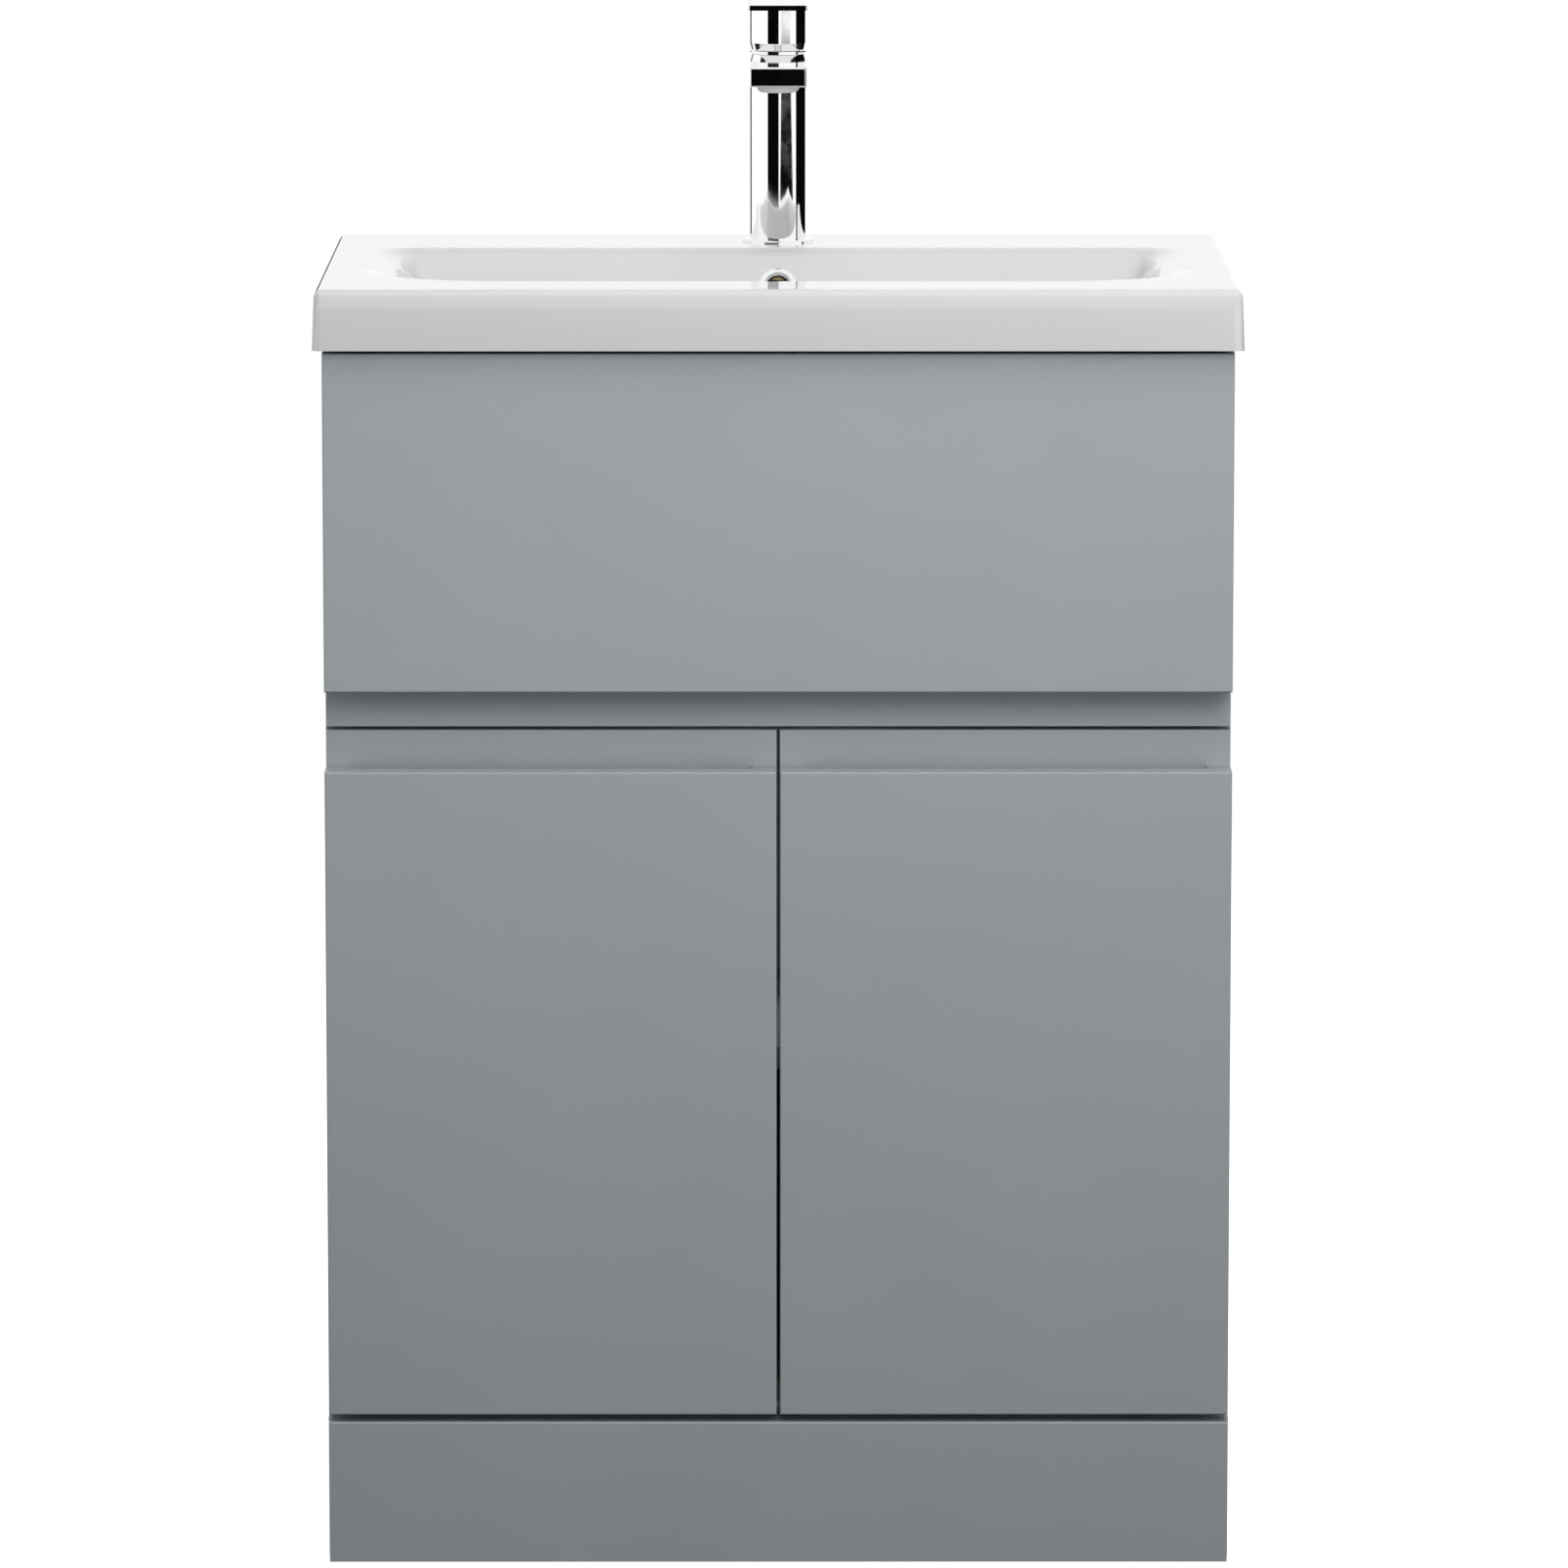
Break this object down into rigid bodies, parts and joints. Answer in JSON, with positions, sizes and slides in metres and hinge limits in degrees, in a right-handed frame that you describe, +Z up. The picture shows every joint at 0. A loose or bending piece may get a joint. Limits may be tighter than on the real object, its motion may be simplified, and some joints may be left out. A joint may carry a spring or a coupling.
{
  "type": "bathroom vanity cabinet",
  "caption": "Floor-standing vanity cabinet with slab basin, lever mixer tap, wide drawer over a pair of doors, recessed finger grips and flush plinth.",
  "frame": {"origin": "centre of the footprint, on the floor", "axes": "+Z up, -Y towards the person using it, +X to that person's right"},
  "size_m": [0.61, 0.395, 1.0194],
  "materials": {
    "paint": "satin blue-grey lacquer on fibreboard",
    "carcass_board": "smooth white melamine-faced board",
    "dowel_wood": "plain beech",
    "ceramic": "gloss white glazed vitreous china",
    "chrome": "mirror-polished chrome plate",
    "steel": "zinc-plated pressed steel",
    "brass": "turned brass",
    "plastic": "matt moulded plastic",
    "rubber": "soft black rubber"
  },
  "bodies": {
    "cabinet": {"back_panel": "carcass_board", "base_panel": "carcass_board", "basin": "ceramic", "bottom_rear_rail": "carcass_board", "hinge_arms": "steel", "hinge_plates": "steel", "joining_dowels": "dowel_wood", "mid_rail": "carcass_board", "overflow_ring": "chrome", "plinth_blocks": "paint", "plinth_board": "paint", "runner_rails": "steel", "shelf": "carcass_board", "shelf_pins": "steel", "side_left": "paint", "side_right": "paint", "tap_aerator": "plastic", "tap_base": "chrome", "tap_body": "chrome", "tap_cartridge": "plastic", "tap_inlets": "brass", "tap_nut": "brass", "tap_shank": "brass", "tap_washer": "steel", "top_rear_rail": "carcass_board", "waste_body": "chrome", "waste_nut": "plastic", "waste_seal": "rubber"},
    "drawer": {"drawer_face": "paint", "drawer_core": "paint", "drawer_back": "paint", "drawer_grip_blocks": "paint", "drawer_side_left": "carcass_board", "drawer_side_right": "carcass_board", "drawer_box_front": "carcass_board", "drawer_bottom": "carcass_board", "pocket_front": "carcass_board", "pocket_left": "carcass_board", "pocket_right": "carcass_board", "drawer_backs": "carcass_board", "runner_drawer_rails": "steel"},
    "runner_slides": {"runner_slides": "steel"},
    "tap_barrel": {"tap_barrel": "chrome", "tap_lever_pin": "steel"},
    "tap_lever": {"tap_lever": "chrome"},
    "waste_plug": {"waste_plug": "chrome"},
    "hinge_links_left": {"hinge_links_left": "steel"},
    "door_left": {"door_left_face": "paint", "door_left_core": "paint", "door_left_back": "paint", "door_left_grip_blocks": "paint", "hinge_cups_left": "steel", "door_bumper_left": "rubber"},
    "hinge_links_right": {"hinge_links_right": "steel"},
    "door_right": {"door_right_face": "paint", "door_right_core": "paint", "door_right_back": "paint", "door_right_grip_blocks": "paint", "hinge_cups_right": "steel", "door_bumper_right": "rubber"}
  },
  "joints": [
    {"name": "drawer_slide", "type": "slide", "parent": "cabinet", "child": "drawer", "axis": [0, -1, 0], "range_m": [0, 0.28]},
    {"name": "runner_slide", "type": "slide", "parent": "cabinet", "child": "runner_slides", "axis": [0, -1, 0], "range_m": [0, 0.14]},
    {"name": "tap_turn", "type": "hinge", "parent": "cabinet", "child": "tap_barrel", "pos_m": [0, 0.1475, 0.99], "axis": [0, 0, 1], "range_deg": [-45, 45]},
    {"name": "tap_lift", "type": "hinge", "parent": "tap_barrel", "child": "tap_lever", "pos_m": [0, 0.1615, 1.0084], "axis": [-1, 0, 0], "range_deg": [0, 20]},
    {"name": "waste_plug_slide", "type": "slide", "parent": "cabinet", "child": "waste_plug", "axis": [0, 0, 1], "range_m": [0, 0.008]},
    {"name": "hinge_link_left", "type": "hinge", "parent": "cabinet", "child": "hinge_links_left", "pos_m": [-0.2898, -0.1452, 0.325], "axis": [0, 0, -1], "range_deg": [0, 152.96]},
    {"name": "door_hinge_left", "type": "hinge", "parent": "hinge_links_left", "child": "door_left", "pos_m": [-0.2668, -0.1471, 0.325], "axis": [0, 0, 1], "range_deg": [0, 57.95]},
    {"name": "hinge_link_right", "type": "hinge", "parent": "cabinet", "child": "hinge_links_right", "pos_m": [0.2898, -0.1452, 0.325], "axis": [0, 0, 1], "range_deg": [0, 152.96]},
    {"name": "door_hinge_right", "type": "hinge", "parent": "hinge_links_right", "child": "door_right", "pos_m": [0.2668, -0.1471, 0.325], "axis": [0, 0, -1], "range_deg": [0, 57.95]}
  ],
  "couplings": [
    {"joint": "runner_slide", "follows": "drawer_slide", "ratio": 0.5},
    {"joint": "hinge_link_left", "follows": "door_hinge_left", "ratio": 2.6393},
    {"joint": "hinge_link_right", "follows": "door_hinge_right", "ratio": 2.6393}
  ]
}
